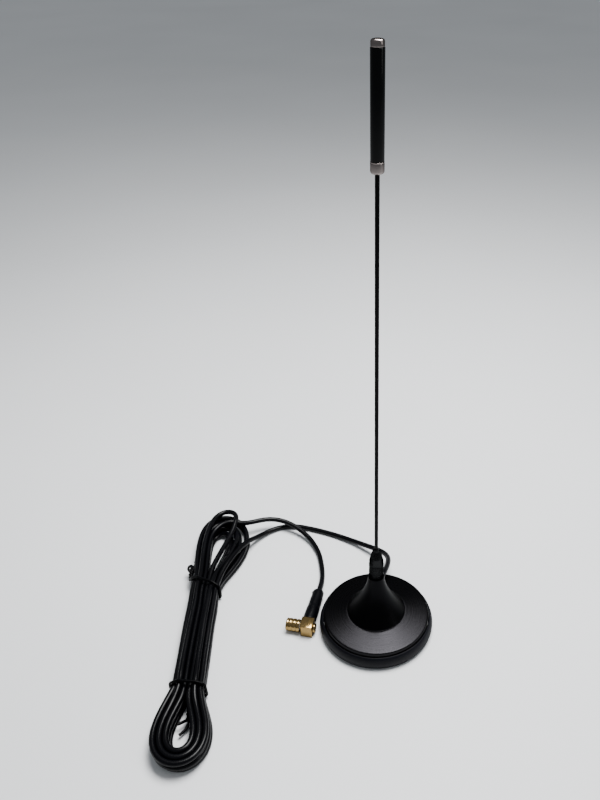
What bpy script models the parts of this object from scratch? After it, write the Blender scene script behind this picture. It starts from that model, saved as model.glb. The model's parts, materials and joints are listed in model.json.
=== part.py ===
"""Magnetic-mount whip aerial with its coaxial lead tied in a hank and a right-angle push-on plug.

Metres, +Z up. The origin is the centre of the base's underside, the whip stands on +Z, and the lead
lies on the same surface towards -X. The whip unscrews from the threaded stud in the neck.
"""

import math

import bmesh
import bpy
from mathutils import Matrix, Vector

MM = 0.001
GAP = 0.3 * MM  # clearance between pieces that touch each other

# Base
BOOT_R = 28.5 * MM
BOOT_SHOULDER_R = 26.9 * MM
BOOT_TOP = 7.3 * MM
COVER_R = 26.3 * MM
COVER_EDGE_Z = 9.45 * MM
FOOT_R = 14.5 * MM  # where the neck's flare meets the cover
FOOT_Z = 11.34 * MM
YOKE_R = 24.9 * MM
YOKE_TOP = 8.4 * MM
PLATE_T = 1.2 * MM
MAGNET_R = 22.0 * MM
MAGNET_HOLE_R = 12.0 * MM
PAD_T = 0.6 * MM

# Neck and the stud that the whip screws on to
NECK_TOP = 35.1 * MM
NECK_TOP_R = 4.0 * MM
NECK_FLARE = 1.85  # exponent of the flare from the slim top to the foot
SPIGOT_R = 5.9 * MM
CAVITY_R = 4.5 * MM
CAVITY_TOP = 17.0 * MM
BUSH_R = 2.3 * MM
SHANK_R = 1.0 * MM
THREAD_R = 1.45 * MM
THREAD_PITCH = 0.7 * MM
STUD_TOP = 42.1 * MM
SCREW_CIRCLE_R = 8.8 * MM
SCREW_ANGLES = (-90, 30, 150)
SCREW_R = 1.0 * MM
LUG_R = 2.1 * MM  # outer radius of the tags and washers under the screws and the nut

# Whip
SEAL_Z = (NECK_TOP + GAP, NECK_TOP + GAP + 0.5 * MM)
FERRULE_Z = SEAL_Z[1] + GAP
FERRULE_R = 3.6 * MM
FERRULE_TIP = 52.7 * MM
ROD_R = 0.88 * MM
ROD_Z = (46.0 * MM, 234.0 * MM)
TUBE_R = 2.5 * MM
TUBE_BORE_R = 2.1 * MM
TUBE_Z = (235.4 * MM, 271.6 * MM)
WHIP_TOP = 274.3 * MM
COIL_R = 1.72 * MM
COIL_WIRE_R = 0.12 * MM
COIL_TURNS = 10

# Lead
CABLE_R = 1.4 * MM
EXIT_MOUTH = Vector((2.2, 16.2, 14.2)) * MM
EXIT_DIRECTION = Vector((0.15, 0.985, -0.05)).normalized()
GROMMET_R = 2.0 * MM
GROMMET_LENGTH = 10.0 * MM
HANK_BOTTOM = 1.3 * MM
HANK_TOP = 10.3 * MM
TIE_R = 0.5 * MM
ROUTE_STEP = 7.0 * MM  # spacing of the points along a tube

# Plug: its frame's +Y is where the lead leaves, -X is where it mates
PLUG_PLACE = Vector((-34.7, -4.85, 0.0)) * MM
PLUG_TURN = math.radians(-11)
PLUG_SIZE = Vector((6.5, 6.9, 7.0)) * MM
PLUG_AXIS_Z = PLUG_SIZE.z / 2
BARREL_R = 3.25 * MM
BARREL_BORE_R = 2.4 * MM
BARREL_GROOVE = 0.25 * MM
CAP_PROUD = 1.3 * MM  # how far the cap stands out of the block
BARREL_LENGTH = 7.0 * MM
CONTACT_R = 0.45 * MM
SLEEVE_LENGTH = 19.8 * MM

BASE_SIDES = 48
SIDES = 32
SMALL_SIDES = 16

# From the grommet's mouth over the rim of the base, down to the surface and round to the hank
BASE_LEAD_ROUTE = [
    (2.25, 16.5, 14.18),
    (4.2, 22.8, 13.4),
    (6.1, 30.2, 11.5),
    (6.5, 37.8, 9.2),
    (4.0, 44.2, 7.0),
    (-1.8, 49.8, 5.0),
    (-7.5, 54.3, 3.4),
    (-13.5, 58.4, 2.3),
    (-25.6, 64.8, 1.5),
    (-37.4, 68.9, 1.45),
    (-47.5, 71.2, 1.45),
    (-55.6, 70.4, 1.5),
    (-63.2, 65.2, 2.2),
    (-68.6, 59.4, 3.2),
]

# From the top of the hank over the base lead to the plug's sleeve
PLUG_LEAD_ROUTE = [
    (-73.4, 66.3, 8.0),
    (-69.5, 68.8, 7.8),
    (-64.5, 70.8, 7.4),
    (-59.5, 71.4, 6.8),
    (-54.0, 70.8, 6.1),
    (-49.0, 68.7, 5.3),
    (-43.1, 64.9, 4.0),
    (-36.8, 58.2, 2.6),
    (-32.2, 49.3, 1.7),
    (-30.0, 40.0, 1.5),
    (-29.1, 32.0, 1.8),
    (-29.2, 25.5, 2.8),
    (-29.9, 20.4, 3.4),
    (-30.2, 18.8, 3.5),
]

# The hank seen from above: two loops, pinched where the ties hold it
HANK_OUTLINE = [
    (-87.0, 80.0),
    (-80.5, 76.5),
    (-74.6, 66.5),
    (-71.4, 56.5),
    (-73.4, 44.0),
    (-79.4, 30.0),
    (-81.8, 20.0),
    (-82.2, 6.0),
    (-80.8, -18.0),
    (-79.0, -40.0),
    (-76.4, -52.0),
    (-72.6, -65.5),
    (-75.0, -76.0),
    (-83.0, -82.5),
    (-92.0, -79.5),
    (-97.4, -70.0),
    (-96.8, -58.0),
    (-94.4, -42.0),
    (-95.6, -18.0),
    (-97.2, 6.0),
    (-98.2, 22.0),
    (-100.0, 45.0),
    (-97.4, 62.0),
    (-92.4, 74.0),
]


def clear_scene():
    for obj in list(bpy.data.objects):
        bpy.data.objects.remove(obj, do_unlink=True)


def make_material(name, color, roughness, metallic=0.0):
    material = bpy.data.materials.new(name)
    material.use_nodes = True
    surface = material.node_tree.nodes["Principled BSDF"]
    surface.inputs["Base Color"].default_value = (*color, 1.0)
    surface.inputs["Roughness"].default_value = roughness
    surface.inputs["Metallic"].default_value = metallic
    material.diffuse_color = (*color, 1.0)
    return material


def add_mesh(name, bm, material, smooth=True):
    """Turns a bmesh into an object with its faces pointing out."""
    bmesh.ops.recalc_face_normals(bm, faces=bm.faces)
    mesh = bpy.data.meshes.new(name)
    bm.to_mesh(mesh)
    bm.free()
    mesh.materials.append(material)
    if smooth:
        mesh.shade_smooth()
        mesh.set_sharp_from_angle(angle=math.radians(30))
    obj = bpy.data.objects.new(name, mesh)
    bpy.context.scene.collection.objects.link(obj)
    return obj


def circle(radius, sides):
    turn = 2 * math.pi / sides
    return [(radius * math.cos(i * turn), radius * math.sin(i * turn)) for i in range(sides)]


def stitch(bm, ring, following):
    """Faces between two closed rings; a ring of one vertex is a point on the axis."""
    count = max(len(ring), len(following))
    for i in range(count):
        corners = [
            ring[i % len(ring)],
            ring[(i + 1) % len(ring)],
            following[(i + 1) % len(following)],
            following[i % len(following)],
        ]
        bm.faces.new(list(dict.fromkeys(corners)))


def turned(name, material, profile, sides=SIDES):
    """A solid turned about its own Z from a closed loop of (radius, height)."""
    bm = bmesh.new()
    rings = []
    for radius, height in profile:
        spots = circle(radius, sides) if radius > 0 else [(0.0, 0.0)]
        rings.append([bm.verts.new((x, y, height)) for x, y in spots])
    for ring, following in zip(rings, rings[1:] + rings[:1]):
        if len(ring) > 1 or len(following) > 1:
            stitch(bm, ring, following)
    return add_mesh(name, bm, material)


def pin(name, material, radius, low, high, sides=SMALL_SIDES):
    return turned(name, material, [(0, low), (radius, low), (radius, high), (0, high)], sides)


def washer(name, material, bore, radius, low, high, sides=SIDES):
    return turned(name, material, [(bore, low), (radius, low), (radius, high), (bore, high)], sides)


def block(name, material, low, high, bevel):
    bm = bmesh.new()
    bmesh.ops.create_cube(bm, size=1.0)
    size = Vector(high) - Vector(low)
    middle = (Vector(high) + Vector(low)) / 2
    placed = Matrix.Translation(middle) @ Matrix.Diagonal((*size, 1.0))
    bmesh.ops.transform(bm, matrix=placed, verts=bm.verts)
    bmesh.ops.bevel(bm, geom=bm.edges[:], offset=bevel, segments=2, profile=0.5, affect="EDGES")
    return add_mesh(name, bm, material)


def extruded(name, material, outline, low, high):
    """A flat outline with straight sides from low to high."""
    bm = bmesh.new()
    rings = [[bm.verts.new((x, y, z)) for x, y in outline] for z in (low, high)]
    bm.faces.new(rings[0][::-1])
    bm.faces.new(rings[1])
    stitch(bm, *rings)
    return add_mesh(name, bm, material)


def cut(obj, cutter):
    """Cuts a helper's shape out of an object; the helper itself is left out of the part."""
    cutter.hide_render = True
    cutter.display_type = "WIRE"
    modifier = obj.modifiers.new("cut_" + cutter.name, "BOOLEAN")
    modifier.operation = "DIFFERENCE"
    modifier.solver = "EXACT"
    modifier.object = cutter


def curve_point(before, start, end, after, share):
    """A Catmull-Rom point between start and end."""
    return 0.5 * (
        2 * start
        + (end - before) * share
        + (2 * before - 5 * start + 4 * end - after) * share**2
        + (3 * start - before - 3 * end + after) * share**3
    )


def smooth_points(route, step, closed=False):
    """Evenly spaced points on a smooth curve through the route's own points."""
    knots = [Vector(point) * MM for point in route]
    fine = []
    last = len(knots) if closed else len(knots) - 1
    for i in range(last):
        if closed:
            around = [knots[(i + k) % len(knots)] for k in (-1, 0, 1, 2)]
        else:
            around = [knots[min(max(i + k, 0), len(knots) - 1)] for k in (-1, 0, 1, 2)]
        fine += [curve_point(*around, k / 20) for k in range(20)]
    fine.append(knots[0].copy() if closed else knots[-1])
    lengths = [0.0]
    for a, b in zip(fine, fine[1:]):
        lengths.append(lengths[-1] + (b - a).length)
    count = max(2, round(lengths[-1] / step))
    points = []
    k = 0
    for i in range(count + 1):
        wanted = lengths[-1] * i / count
        while k < len(fine) - 2 and lengths[k + 1] < wanted:
            k += 1
        share = (wanted - lengths[k]) / (lengths[k + 1] - lengths[k])
        points.append(fine[k].lerp(fine[k + 1], min(share, 1.0)))
    return points[:-1] if closed else points


def tube(name, material, points, radius, resolution=2):
    """A solid round cord along the points."""
    curve = bpy.data.curves.new(name, "CURVE")
    curve.dimensions = "3D"
    curve.bevel_depth = radius
    curve.bevel_resolution = resolution
    curve.use_fill_caps = True
    spline = curve.splines.new("POLY")
    spline.points.add(len(points) - 1)
    for spot, point in zip(spline.points, points):
        spot.co = (*point, 1.0)
    curve.materials.append(material)
    obj = bpy.data.objects.new(name, curve)
    bpy.context.scene.collection.objects.link(obj)
    return obj


def on_screw_circle(angle):
    return Vector((math.cos(math.radians(angle)), math.sin(math.radians(angle)), 0)) * SCREW_CIRCLE_R


def screw_hole_cutter(name, low, high):
    """Three clearance holes on the screw circle, as one cutter."""
    bm = bmesh.new()
    for angle in SCREW_ANGLES:
        place = on_screw_circle(angle) + Vector((0, 0, (low + high) / 2))
        bmesh.ops.create_cone(
            bm,
            cap_ends=True,
            segments=SMALL_SIDES,
            radius1=SCREW_R + GAP,
            radius2=SCREW_R + GAP,
            depth=high - low,
            matrix=Matrix.Translation(place),
        )
    return add_mesh(name, bm, MATERIALS["helper"])


def neck_radius(height):
    share = (height - FOOT_Z) / (NECK_TOP - FOOT_Z)
    return NECK_TOP_R + (FOOT_R - NECK_TOP_R) * (1 - share) ** NECK_FLARE


def make_base():
    rubber = MATERIALS["rubber"]
    pin("base_pad", rubber, COVER_R, 0, PAD_T, BASE_SIDES)
    bore = COVER_R + GAP
    turned(
        "rubber_boot",
        rubber,
        [
            (bore, 0),
            (27.1 * MM, 0),
            (27.8 * MM, 0.7 * MM),
            (28.3 * MM, 1.8 * MM),
            (BOOT_R, 3.2 * MM),
            (28.4 * MM, 4.7 * MM),
            (28.0 * MM, 5.9 * MM),
            (27.6 * MM, 6.8 * MM),
            (BOOT_SHOULDER_R, BOOT_TOP),
            (bore, BOOT_TOP),
        ],
        BASE_SIDES,
    )
    plate_low = YOKE_TOP - PLATE_T
    magnet_low = PAD_T + GAP
    washer("ring_magnet", MATERIALS["ferrite"], MAGNET_HOLE_R, MAGNET_R, magnet_low, plate_low - GAP)
    skirt_r = MAGNET_R + GAP
    yoke = turned(
        "magnet_yoke",
        MATERIALS["zinc"],
        [
            (3.5 * MM, plate_low),
            (skirt_r, plate_low),
            (skirt_r, magnet_low),
            (YOKE_R, magnet_low),
            (YOKE_R, YOKE_TOP),
            (3.5 * MM, YOKE_TOP),
        ],
    )
    under = YOKE_TOP + GAP
    cover = turned(
        "cover_disc",
        MATERIALS["brushed"],
        [
            (SPIGOT_R + GAP, under),
            (YOKE_R + GAP, under),
            (YOKE_R + GAP, 4.0 * MM),
            (COVER_R, 4.0 * MM),
            (COVER_R, COVER_EDGE_Z - 0.25 * MM),
            (COVER_R - 0.25 * MM, COVER_EDGE_Z),
            (FOOT_R + 0.3 * MM, FOOT_Z),
            (SPIGOT_R + GAP, FOOT_Z),
        ],
        BASE_SIDES,
    )
    cut(yoke, screw_hole_cutter("yoke_holes", plate_low - 2 * MM, YOKE_TOP + 2 * MM))
    cut(cover, screw_hole_cutter("cover_holes", under - 2 * MM, FOOT_Z + 2 * MM))


def make_neck():
    """The flared neck, bored for the stud's bush, with a side hole for the lead."""
    foot = FOOT_Z + GAP
    heights = [foot + 0.3 * MM + (NECK_TOP - foot - 0.3 * MM) * (i / 10) ** 0.9 for i in range(11)]
    flare = [(neck_radius(height), height) for height in heights]
    neck = turned(
        "neck",
        MATERIALS["anodised"],
        [
            (CAVITY_R, YOKE_TOP + GAP),
            (SPIGOT_R, YOKE_TOP + GAP),
            (SPIGOT_R, foot),
            (FOOT_R, foot),
            *flare,
            (BUSH_R + GAP, NECK_TOP),
            (BUSH_R + GAP, CAVITY_TOP),
            (CAVITY_R, CAVITY_TOP),
        ],
    )
    cut(neck, screw_hole_cutter("neck_holes", foot - 2 * MM, 15.5 * MM))
    hole = pin("lead_hole", MATERIALS["helper"], GROMMET_R + GAP, -14.0 * MM, 4.0 * MM)
    hole.location = EXIT_MOUTH
    hole.rotation_mode = "QUATERNION"
    hole.rotation_quaternion = EXIT_DIRECTION.to_track_quat("Z", "Y")
    cut(neck, hole)
    grommet = turned(
        "cable_grommet",
        MATERIALS["rubber"],
        [
            (0, -GROMMET_LENGTH),
            (GROMMET_R, -GROMMET_LENGTH),
            (GROMMET_R, -4.0 * MM),
            (1.8 * MM, -0.4 * MM),
            (1.6 * MM, 0),
            (0, 0),
        ],
        SMALL_SIDES,
    )
    grommet.location = EXIT_MOUTH
    grommet.rotation_mode = "QUATERNION"
    grommet.rotation_quaternion = EXIT_DIRECTION.to_track_quat("Z", "Y")


def make_stud():
    """The stud that carries the whip, insulated from the neck, with its solder tag and nut."""
    bore = SHANK_R + GAP
    flange_top = CAVITY_TOP - GAP
    flange_low = flange_top - 1.5 * MM
    turned(
        "insulator_bush",
        MATERIALS["white_plastic"],
        [
            (bore, flange_low),
            (4.0 * MM, flange_low),
            (4.0 * MM, flange_top),
            (BUSH_R, flange_top),
            (BUSH_R, NECK_TOP - 0.2 * MM),
            (bore, NECK_TOP - 0.2 * MM),
        ],
        SMALL_SIDES,
    )
    root = THREAD_R - 0.3 * MM
    low = NECK_TOP + 0.1 * MM
    ridges = []
    count = int((STUD_TOP - low) / THREAD_PITCH)
    for i in range(count):
        height = low + i * THREAD_PITCH
        ridges += [(root, height), (THREAD_R, height + THREAD_PITCH / 2)]
    tail = 12.0 * MM
    turned(
        "contact_stud",
        MATERIALS["brass"],
        [(0, tail), (SHANK_R, tail), (SHANK_R, low), *ridges, (root, STUD_TOP), (0, STUD_TOP)],
        SMALL_SIDES,
    )
    lug_top = flange_low - GAP
    lug_low = lug_top - 0.5 * MM
    # a ring that is open towards +Y, where its tongue takes the lead's core
    angles = [math.radians(110 + 320 * i / 14) for i in range(15)]
    ring = [(LUG_R * math.cos(angle), LUG_R * math.sin(angle)) for angle in angles]
    tongue = [(0.7 * MM, 3.6 * MM), (-0.7 * MM, 3.6 * MM)]
    lug = extruded("solder_lug", MATERIALS["tinned"], ring + tongue, lug_low, lug_top)
    cut(lug, pin("lug_hole", MATERIALS["helper"], bore, lug_low - MM, lug_top + MM))
    nut_top = lug_low - GAP
    nut = extruded("stud_nut", MATERIALS["brass"], circle(1.95 * MM, 6), nut_top - 1.4 * MM, nut_top)
    cut(nut, pin("nut_hole", MATERIALS["helper"], bore, nut_top - 3 * MM, nut_top + MM))


def make_screws():
    """Three screws from under the yoke into the neck, one holding the earth tag."""
    plate_low = YOKE_TOP - PLATE_T
    ring_top = plate_low - GAP
    ring_low = ring_top - 0.6 * MM
    head_top = ring_low - GAP
    profile = [
        (0, head_top - 1.6 * MM),
        (1.5 * MM, head_top - 1.6 * MM),
        (1.9 * MM, head_top - 1.1 * MM),
        (1.9 * MM, head_top),
        (SCREW_R, head_top),
        (SCREW_R, 14.4 * MM),
        (SCREW_R - 0.3 * MM, 15.0 * MM),
        (0, 15.0 * MM),
    ]
    for number, angle in enumerate(SCREW_ANGLES, 1):
        screw = turned(f"neck_screw_{number}", MATERIALS["zinc"], profile, SMALL_SIDES)
        screw.location = on_screw_circle(angle)
        name = "earth_lug" if number == 1 else f"lock_washer_{number}"
        ring = washer(name, MATERIALS["tinned"], SCREW_R + GAP, LUG_R, ring_low, ring_top, SMALL_SIDES)
        ring.location = on_screw_circle(angle)


def make_whip():
    washer("whip_seal", MATERIALS["rubber"], THREAD_R + GAP, 3.1 * MM, *SEAL_Z)
    rod_bore = ROD_R + 0.15 * MM
    bore_top = STUD_TOP + 0.6 * MM
    turned(
        "whip_ferrule",
        MATERIALS["anodised"],
        [
            (THREAD_R + GAP, FERRULE_Z),
            (FERRULE_R - 0.25 * MM, FERRULE_Z),
            (FERRULE_R, FERRULE_Z + 0.25 * MM),
            (FERRULE_R, 43.0 * MM),
            (FERRULE_R - 0.1 * MM, 43.2 * MM),
            (FERRULE_R - 0.1 * MM, 45.2 * MM),
            (3.0 * MM, 47.4 * MM),
            (2.3 * MM, 49.8 * MM),
            (1.5 * MM, 52.1 * MM),
            (1.25 * MM, FERRULE_TIP),
            (rod_bore, FERRULE_TIP),
            (rod_bore, ROD_Z[0] - GAP),
            (0, ROD_Z[0] - GAP),
            (0, bore_top),
            (THREAD_R + GAP, bore_top),
        ],
    )
    pin("whip_rod", MATERIALS["black_paint"], ROD_R, *ROD_Z)
    cap_low = ROD_Z[1] - 3.0 * MM
    plug_r = TUBE_BORE_R - GAP
    plug_top = TUBE_Z[0] + 3.6 * MM
    turned(
        "coil_lower_cap",
        MATERIALS["nickel"],
        [
            (rod_bore, cap_low),
            (1.9 * MM, cap_low),
            (2.4 * MM, cap_low + 0.5 * MM),
            (2.55 * MM, cap_low + 1.1 * MM),
            (2.55 * MM, TUBE_Z[0] - GAP),
            (plug_r, TUBE_Z[0] - GAP),
            (plug_r, plug_top),
            (0, plug_top),
            (0, ROD_Z[1] + GAP),
            (rod_bore, ROD_Z[1] + GAP),
        ],
    )
    washer("coil_tube", MATERIALS["gloss_black"], TUBE_BORE_R, TUBE_R, *TUBE_Z)
    cap_top_low = TUBE_Z[1] - 3.6 * MM
    turned(
        "top_cap",
        MATERIALS["nickel"],
        [
            (0, cap_top_low),
            (plug_r, cap_top_low),
            (plug_r, TUBE_Z[1] + GAP),
            (2.3 * MM, TUBE_Z[1] + GAP),
            (2.35 * MM, 272.1 * MM),
            (2.35 * MM, 273.4 * MM),
            (2.0 * MM, 274.0 * MM),
            (1.2 * MM, 274.2 * MM),
            (0, WHIP_TOP),
        ],
    )
    former_z = (plug_top + GAP, cap_top_low - GAP)
    pin("coil_former", MATERIALS["white_plastic"], COIL_R - COIL_WIRE_R - GAP, *former_z, sides=12)
    steps = 8
    rise = (former_z[1] - former_z[0] - 3 * MM) / (COIL_TURNS * steps)
    helix = []
    for i in range(COIL_TURNS * steps + 1):
        angle = 2 * math.pi * i / steps
        height = former_z[0] + 1.5 * MM + rise * i
        helix.append((COIL_R * math.cos(angle), COIL_R * math.sin(angle), height))
    tube("loading_coil", MATERIALS["copper"], helix, COIL_WIRE_R, 0)


def hank_outline(inset):
    """The hank's outline, moved inwards."""
    points = smooth_points([(x, y, 0) for x, y in HANK_OUTLINE], 8 * MM, closed=True)
    moved = []
    for i, point in enumerate(points):
        along = points[(i + 1) % len(points)] - points[i - 1]
        outward = Vector((-along.y, along.x, 0)).normalized()
        moved.append((point - outward * inset).to_2d())
    return moved


def make_hank():
    """The hank's outer shape, rounded above and below."""
    levels = [
        (1.8 * MM, HANK_BOTTOM),
        (0.0, HANK_BOTTOM + 2.4 * MM),
        (0.0, HANK_TOP - 3.0 * MM),
        (2.2 * MM, HANK_TOP),
    ]
    bm = bmesh.new()
    rings = [[bm.verts.new((*p, z)) for p in hank_outline(inset)] for inset, z in levels]
    bm.faces.new(rings[0])
    bm.faces.new(rings[-1][::-1])
    for ring, following in zip(rings, rings[1:]):
        stitch(bm, ring, following)
    add_mesh("cable_hank", bm, MATERIALS["jacket"])


def make_tie(name, centre, half_width, turn, side):
    """A wire tie round the hank; its twisted tail points away on one side."""
    half_height = (HANK_TOP - HANK_BOTTOM) / 2 + GAP + TIE_R
    middle = (HANK_TOP + HANK_BOTTOM) / 2
    corner = 2.4 * MM
    loop = []
    for quarter, (sx, sz) in enumerate(((1, 1), (-1, 1), (-1, -1), (1, -1))):
        for k in range(4):
            angle = math.radians(90 * quarter + 30 * k)
            across = sx * (half_width - corner) + corner * math.cos(angle)
            above = sz * (half_height - corner) + corner * math.sin(angle)
            loop.append(Vector((across, 0, above)))
    start = Vector((half_width, 0, 0.4 * MM))
    tail = [
        Vector((half_width + 1.0 * MM, 1.3 * MM, 0.6 * MM)),
        Vector((half_width + 2.6 * MM, 3.2 * MM, 0.2 * MM)),
        Vector((half_width + 3.0 * MM, 7.4 * MM, -1.2 * MM)),
    ]
    points = [start, *loop, Vector((half_width, 1.0 * MM, -1.0 * MM)), *tail]
    if side < 0:
        points = [Vector((-p.x, p.y, p.z)) for p in points]
    place = Matrix.Translation((centre[0] * MM, centre[1] * MM, middle)) @ Matrix.Rotation(turn, 4, "Z")
    tube(name, MATERIALS["tie"], [place @ p for p in points], TIE_R, 1)


def make_lead():
    tube("cable_run", MATERIALS["jacket"], smooth_points(BASE_LEAD_ROUTE, ROUTE_STEP), CABLE_R)
    make_hank()
    tube("cable_tail", MATERIALS["jacket"], smooth_points(PLUG_LEAD_ROUTE, ROUTE_STEP), CABLE_R)
    make_tie("tie_upper", (-90.05, 19.0), 9.6 * MM, math.radians(-18), -1)
    make_tie("tie_lower", (-86.6, -40.5), 8.7 * MM, math.radians(-3), 1)


def in_plug(obj, holder, axis="Z"):
    """Puts a plug piece in the plug's frame; a turned piece's Z goes along -X or +Y."""
    obj.parent = holder
    if axis == "-X":
        obj.location.z = PLUG_AXIS_Z
        obj.rotation_euler = (0, -math.pi / 2, 0)
    elif axis == "+Y":
        obj.location.z = PLUG_AXIS_Z
        obj.rotation_euler = (-math.pi / 2, 0, 0)
    return obj


def make_plug():
    holder = bpy.data.objects.new("plug_frame", None)
    bpy.context.scene.collection.objects.link(holder)
    holder.location = PLUG_PLACE
    holder.rotation_euler.z = PLUG_TURN
    gold = MATERIALS["gold"]
    half = PLUG_SIZE / 2

    body = block("plug_body", gold, (-half.x, -half.y, 0), (half.x, half.y, PLUG_SIZE.z), 0.45 * MM)
    in_plug(body, holder)
    recess = pin("cap_recess", MATERIALS["helper"], 2.6 * MM, -5 * MM, -half.x + 0.8 * MM)
    cut(body, in_plug(recess, holder, "-X"))
    in_plug(
        turned(
            "plug_cap",
            gold,
            [
                (0, -half.x - CAP_PROUD),
                (1.8 * MM, -half.x - CAP_PROUD),
                (2.3 * MM, -half.x - CAP_PROUD + 0.5 * MM),
                (2.3 * MM, -half.x + 0.5 * MM),
                (0, -half.x + 0.5 * MM),
            ],
            SMALL_SIDES,
        ),
        holder,
        "-X",
    )

    back = half.x + GAP
    tip = back + BARREL_LENGTH
    rings = []
    for i in range(3):
        low = back + (0.1 + 2.0 * i) * MM
        rings += [
            (BARREL_R - BARREL_GROOVE, low),
            (BARREL_R, low + 0.35 * MM),
            (BARREL_R, low + 1.35 * MM),
            (BARREL_R - BARREL_GROOVE, low + 1.7 * MM),
        ]
    barrel = turned(
        "plug_barrel",
        gold,
        [
            (BARREL_BORE_R, back),
            (BARREL_R - BARREL_GROOVE, back),
            *rings,
            (BARREL_R - 0.1 * MM, tip - 0.7 * MM),
            (BARREL_R - 0.3 * MM, tip),
            (BARREL_BORE_R, tip),
        ],
        SMALL_SIDES,
    )
    in_plug(barrel, holder, "-X")
    insulator = washer(
        "plug_insulator",
        MATERIALS["white_plastic"],
        CONTACT_R + GAP,
        BARREL_BORE_R - GAP,
        back,
        tip - 1.8 * MM,
        SMALL_SIDES,
    )
    in_plug(insulator, holder, "-X")
    in_plug(pin("plug_contact", gold, CONTACT_R, back, tip - 1.1 * MM), holder, "-X")

    start = half.y + GAP
    crimp_end = start + 6.4 * MM
    crimp = washer("plug_crimp", gold, CABLE_R + GAP, 2.4 * MM, start, crimp_end, SMALL_SIDES)
    in_plug(crimp, holder, "+Y")
    end = start + SLEEVE_LENGTH
    sleeve = turned(
        "plug_sleeve",
        MATERIALS["shrink"],
        [
            (2.7 * MM, start),
            (3.4 * MM, start),
            (3.45 * MM, start + 4.0 * MM),
            (3.4 * MM, start + 8.4 * MM),
            (3.2 * MM, start + 9.4 * MM),
            (3.1 * MM, start + 14.0 * MM),
            (3.0 * MM, end - 1.6 * MM),
            (2.7 * MM, end),
            (CABLE_R + GAP, end),
            (CABLE_R + GAP, crimp_end + GAP),
            (2.7 * MM, crimp_end + GAP),
        ],
        SMALL_SIDES,
    )
    in_plug(sleeve, holder, "+Y")


clear_scene()
MATERIALS = {
    "rubber": make_material("rubber", (0.020, 0.021, 0.024), 0.62),
    "jacket": make_material("jacket", (0.016, 0.016, 0.018), 0.42),
    "tie": make_material("tie", (0.014, 0.014, 0.016), 0.45),
    "shrink": make_material("shrink", (0.013, 0.013, 0.014), 0.40),
    "anodised": make_material("anodised", (0.018, 0.018, 0.021), 0.38, 0.6),
    "brushed": make_material("brushed", (0.070, 0.068, 0.075), 0.34, 0.9),
    "black_paint": make_material("black_paint", (0.012, 0.012, 0.013), 0.35),
    "gloss_black": make_material("gloss_black", (0.008, 0.008, 0.010), 0.12),
    "nickel": make_material("nickel", (0.74, 0.71, 0.68), 0.16, 1.0),
    "gold": make_material("gold", (0.83, 0.62, 0.29), 0.26, 1.0),
    "brass": make_material("brass", (0.72, 0.56, 0.27), 0.30, 1.0),
    "tinned": make_material("tinned", (0.66, 0.66, 0.65), 0.35, 1.0),
    "zinc": make_material("zinc", (0.55, 0.56, 0.58), 0.38, 1.0),
    "ferrite": make_material("ferrite", (0.060, 0.060, 0.065), 0.55),
    "copper": make_material("copper", (0.70, 0.33, 0.18), 0.28, 1.0),
    "white_plastic": make_material("white_plastic", (0.80, 0.79, 0.75), 0.45),
    "helper": make_material("helper", (0.5, 0.5, 0.5), 0.5),
}
make_base()
make_neck()
make_stud()
make_screws()
make_whip()
make_lead()
make_plug()
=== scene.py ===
"""Looks of a magnetic-mount whip aerial with its lead tied in a hank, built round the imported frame.

Sizes are in millimetres, in the frame's own axes: the whip stands on +Z and the lead lies towards -X.
"""

import json
import math

import bmesh
import bpy
import numpy as np
from mathutils import Matrix, Vector


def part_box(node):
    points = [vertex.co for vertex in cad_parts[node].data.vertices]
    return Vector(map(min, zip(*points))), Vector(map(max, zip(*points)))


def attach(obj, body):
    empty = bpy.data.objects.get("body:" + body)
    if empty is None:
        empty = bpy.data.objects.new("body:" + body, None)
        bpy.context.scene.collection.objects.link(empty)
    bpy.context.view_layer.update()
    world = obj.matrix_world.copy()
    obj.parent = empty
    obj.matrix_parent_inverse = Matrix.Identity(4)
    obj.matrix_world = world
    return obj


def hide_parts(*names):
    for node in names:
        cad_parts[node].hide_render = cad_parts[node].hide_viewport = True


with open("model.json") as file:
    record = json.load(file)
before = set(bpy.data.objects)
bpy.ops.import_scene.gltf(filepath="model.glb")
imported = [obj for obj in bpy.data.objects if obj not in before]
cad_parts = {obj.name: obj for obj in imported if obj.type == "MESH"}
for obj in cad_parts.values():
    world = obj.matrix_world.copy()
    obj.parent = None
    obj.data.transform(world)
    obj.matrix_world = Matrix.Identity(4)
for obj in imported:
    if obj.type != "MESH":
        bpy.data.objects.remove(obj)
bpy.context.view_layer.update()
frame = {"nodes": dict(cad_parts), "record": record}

MM = 0.001
SIDES = 96  # of a turned shape, unless it says otherwise

# Camera: over the front of the object, looking along +Y and down
CAMERA_PLACE = (-1.35, -269.85, 314.13)
CAMERA_DIP = 33.31  # degrees below the horizon
CAMERA_LENS = 35.1
CAMERA_SHIFT = -0.0918

DUST_COLOR = (0.24, 0.24, 0.25)

# Base: the boot round it, the pad under it, the disc on it and the neck on the disc
BOOT_BORE_R = 26.65
PAD_RINGS = 8
PAD_RING_STEP = 2.6
PAD_RING_DEPTH = 0.25
DISC_BORE_R = 6.2
DISC_LIP_BORE_R = 25.2
DISC_EDGE_Z = 9.45
UNDERSIDE_Z = 8.7  # of the disc inside its lip, and of the neck
NECK_SPIGOT_R = 5.9
NECK_TOP_R = 4.0
NECK_FLARE = 1.85  # exponent of the flare from the slim top to the foot
NECK_RINGS = 60
NECK_BORE_R = 2.55
NECK_HOLLOW_R = 4.5
NECK_HOLLOW_TOP = 17.0
STUD_R = 1.0
THREAD_R = 1.45
THREAD_LOW = 35.2
THREAD_PITCH = 0.7
THREAD_DEPTH = 0.3

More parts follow.
